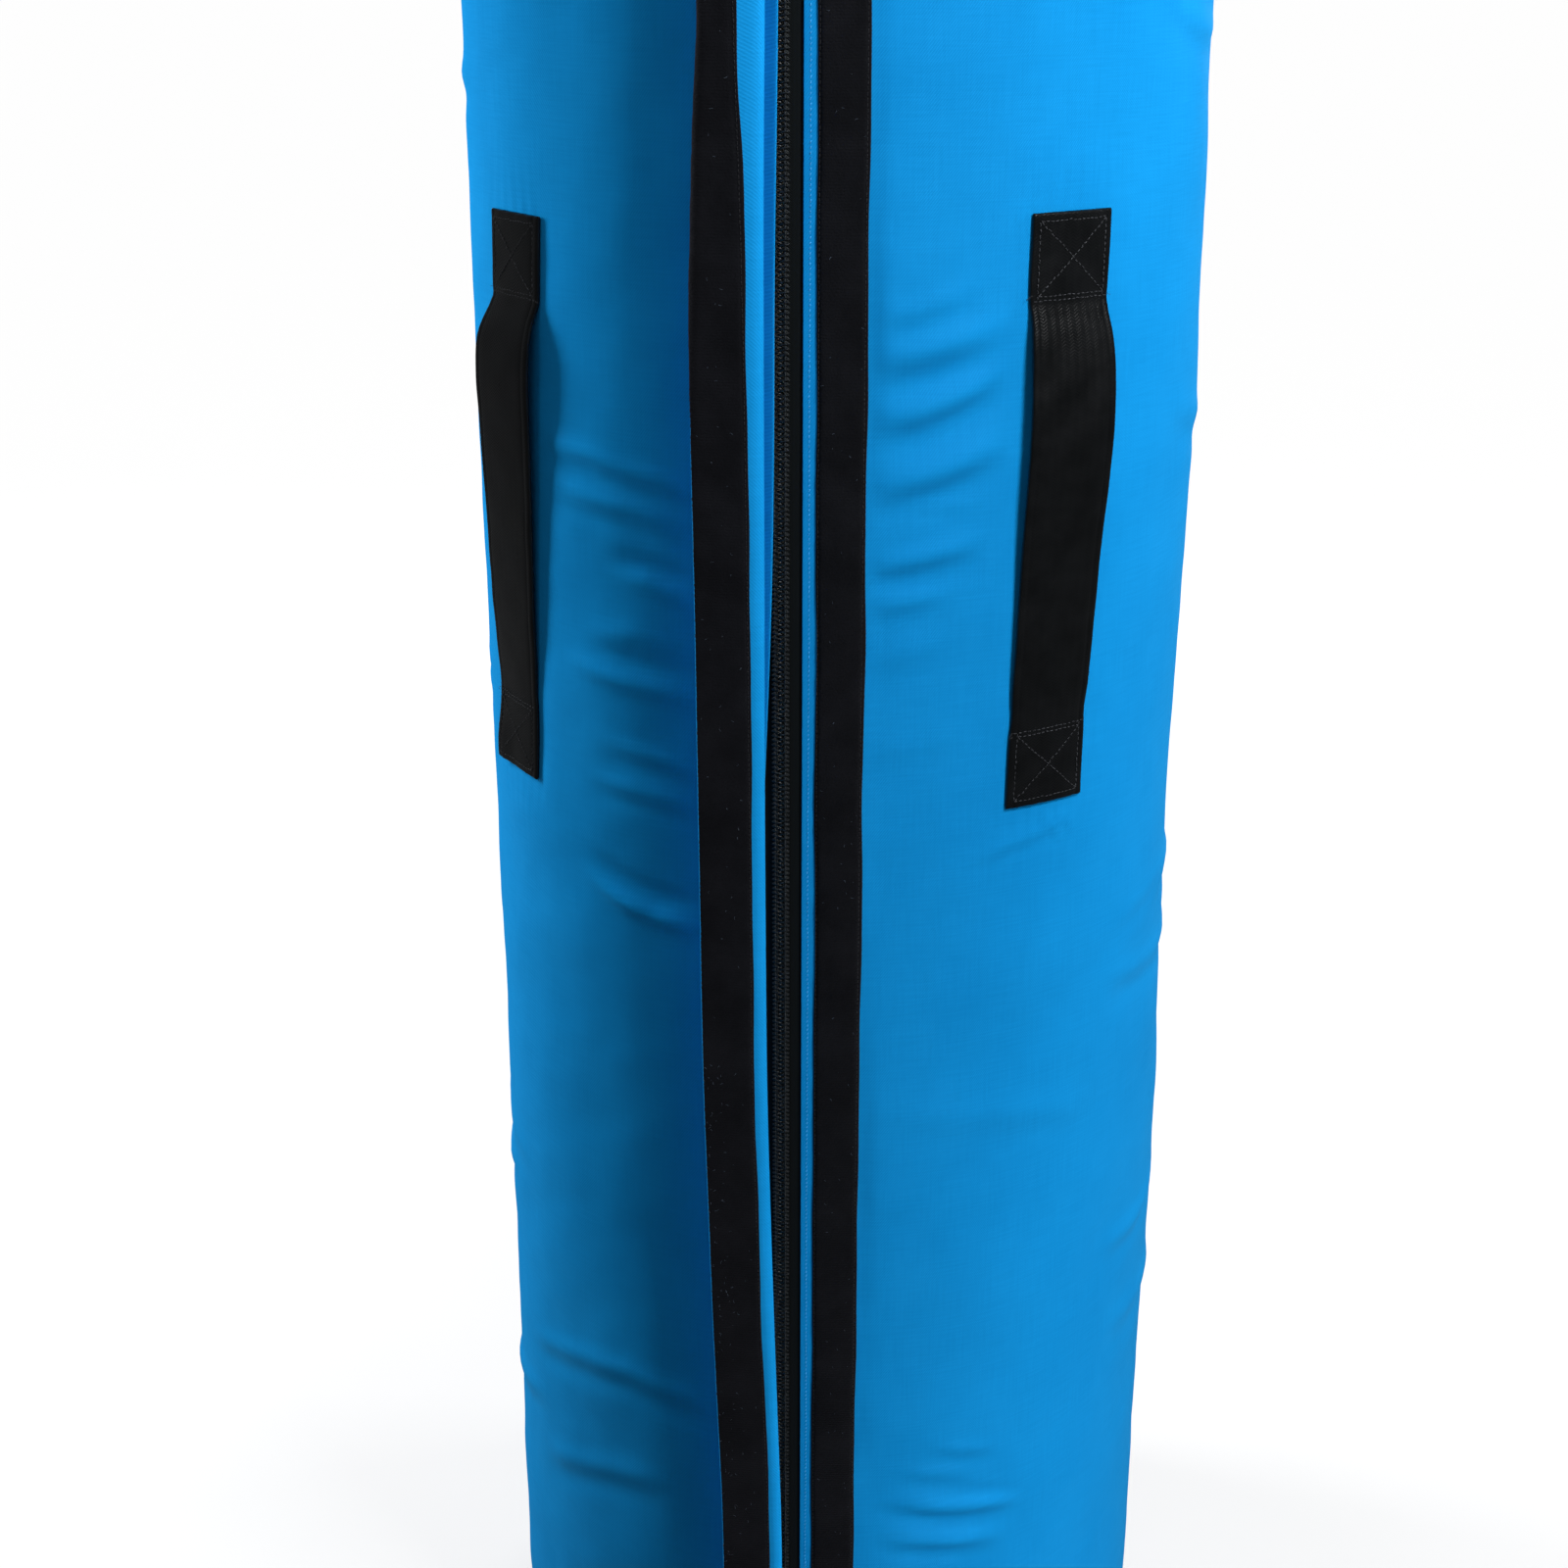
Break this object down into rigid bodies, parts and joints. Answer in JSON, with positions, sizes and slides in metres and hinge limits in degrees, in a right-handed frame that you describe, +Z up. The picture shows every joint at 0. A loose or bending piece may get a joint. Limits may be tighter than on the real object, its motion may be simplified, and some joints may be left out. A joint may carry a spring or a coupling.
{
  "type": "free standing bag",
  "caption": "Tall foam filled training bag in a zipped fabric cover, with a storm flap over the zip, webbing grab handles and a weighted flat base.",
  "frame": {"origin": "centre of the base, on the floor", "axes": "+Z up along the bag, the zip faces -Y"},
  "size_m": [0.4139, 0.4411, 1.5],
  "materials": {
    "cover": "satin",
    "piping": "satin",
    "base_vinyl": "matte",
    "tape": "matte",
    "coil": "satin",
    "zip_metal": "satin",
    "hook_pile": "matte",
    "loop_pile": "matte",
    "webbing": "satin",
    "core_foam": "matte",
    "wrap_foam": "matte",
    "board": "matte",
    "sand": "matte"
  },
  "bodies": {
    "bag": {"cover_panel": "cover", "cover_top": "cover", "cover_base": "base_vinyl", "top_piping": "piping", "base_piping": "piping", "zip_tape_left": "tape", "zip_tape_right": "tape", "zip_coil_left": "coil", "zip_coil_right": "coil", "zip_end_stops": "zip_metal", "loop_strip": "loop_pile", "handle_front_left_ends": "webbing", "handle_front_right_ends": "webbing", "handle_back_right_ends": "webbing", "handle_back_left_ends": "webbing", "foam_core": "core_foam", "foam_wrap": "wrap_foam", "top_pad": "core_foam", "base_board": "board", "ballast_bag": "sand"},
    "flap_root": {"storm_flap_inner": "cover"},
    "flap_edge": {"storm_flap_outer": "cover", "hook_strip": "hook_pile"},
    "slider": {"zip_slider": "zip_metal"},
    "puller": {"zip_puller": "zip_metal"},
    "grip_front_left": {"handle_front_left_grip": "webbing"},
    "grip_front_right": {"handle_front_right_grip": "webbing"},
    "grip_back_right": {"handle_back_right_grip": "webbing"},
    "grip_back_left": {"handle_back_left_grip": "webbing"}
  },
  "joints": [
    {"name": "flap_root_hinge", "type": "hinge", "parent": "bag", "child": "flap_root", "pos_m": [-0.0125, -0.2062, 0.75], "axis": [0, 0, 1], "range_deg": [0, 44]},
    {"name": "flap_fold_hinge", "type": "hinge", "parent": "flap_root", "child": "flap_edge", "pos_m": [-0.00124, -0.22762, 0.75], "axis": [0, 0, 1], "range_deg": [0, 144.1]},
    {"name": "zip_slide", "type": "slide", "parent": "bag", "child": "slider", "axis": [0, 0, 1], "range_m": [-1.36, 0]},
    {"name": "puller_hinge", "type": "hinge", "parent": "slider", "child": "puller", "pos_m": [0, -0.2098, 1.436], "axis": [-1, 0, 0], "range_deg": [0, 180]},
    {"name": "grip_front_left_hinge", "type": "hinge", "parent": "bag", "child": "grip_front_left", "pos_m": [-0.15346, -0.13817, 0.8], "axis": [0, 0, 1], "range_deg": [-20, 20]},
    {"name": "grip_front_right_hinge", "type": "hinge", "parent": "bag", "child": "grip_front_right", "pos_m": [0.13817, -0.15346, 0.8], "axis": [0, 0, 1], "range_deg": [-20, 20]},
    {"name": "grip_back_right_hinge", "type": "hinge", "parent": "bag", "child": "grip_back_right", "pos_m": [0.15346, 0.13817, 0.8], "axis": [0, 0, 1], "range_deg": [-20, 20]},
    {"name": "grip_back_left_hinge", "type": "hinge", "parent": "bag", "child": "grip_back_left", "pos_m": [-0.13817, 0.15346, 0.8], "axis": [0, 0, 1], "range_deg": [-20, 20]}
  ],
  "couplings": [
    {"joint": "flap_fold_hinge", "follows": "flap_root_hinge", "ratio": 3.2727}
  ]
}
